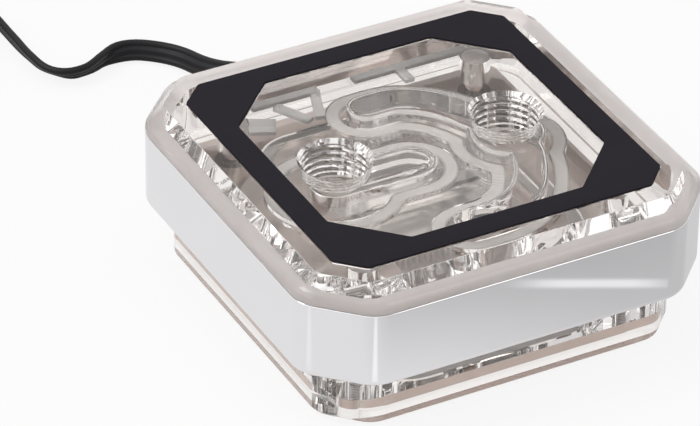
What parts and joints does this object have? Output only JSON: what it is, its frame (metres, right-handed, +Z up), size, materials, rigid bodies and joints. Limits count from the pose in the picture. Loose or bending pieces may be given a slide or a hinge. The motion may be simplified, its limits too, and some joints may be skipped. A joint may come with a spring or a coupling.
{
  "type": "liquid cooling block for a processor",
  "caption": "Processor water block: clear acrylic top with G1/4 ports, plated ring, copper cold plate, light ring and its lead",
  "frame": {"origin": "middle of the copper plate's bottom face", "axes": "+X from the left port to the right one, +Y towards the lead's exit, +Z up out of the ports"},
  "size_m": [0.1235, 0.1763, 0.0316],
  "materials": {
    "clear_acrylic": "polished clear acrylic",
    "dark_anodised": "dark anodised, fine brushed",
    "adhesive": "adhesive film",
    "chrome": "bright nickel plate",
    "copper": "milled copper, muted",
    "steel": "plain steel",
    "seal_rubber": "black rubber",
    "gasket_silicone": "pale silicone",
    "nickel": "nickel-plated brass",
    "brass": "turned brass",
    "board": "white solder mask",
    "lamp": "lamp body with pale lens",
    "chip": "ceramic chip",
    "lead_jacket": "black soft jacket",
    "tie": "black strap",
    "plug": "black moulded housing"
  },
  "bodies": {
    "root": {"top_cover": "clear_acrylic", "trim_frame": "dark_anodised", "trim_film": "adhesive", "housing_ring": "chrome", "base_block": "clear_acrylic", "cold_plate": "copper", "jet_plate": "steel", "plate_seal": "seal_rubber", "inlet_gasket": "gasket_silicone", "outlet_gasket": "gasket_silicone", "threaded_inserts": "nickel", "clamp_screws": "steel", "led_board": "board", "leds": "lamp", "board_chips": "chip", "cable_grommet": "seal_rubber", "lead_tails": "brass", "led_cable": "lead_jacket", "cable_coil": "lead_jacket", "coil_tie": "tie", "connector_housing": "plug", "connector_contacts": "brass"}
  },
  "joints": []
}
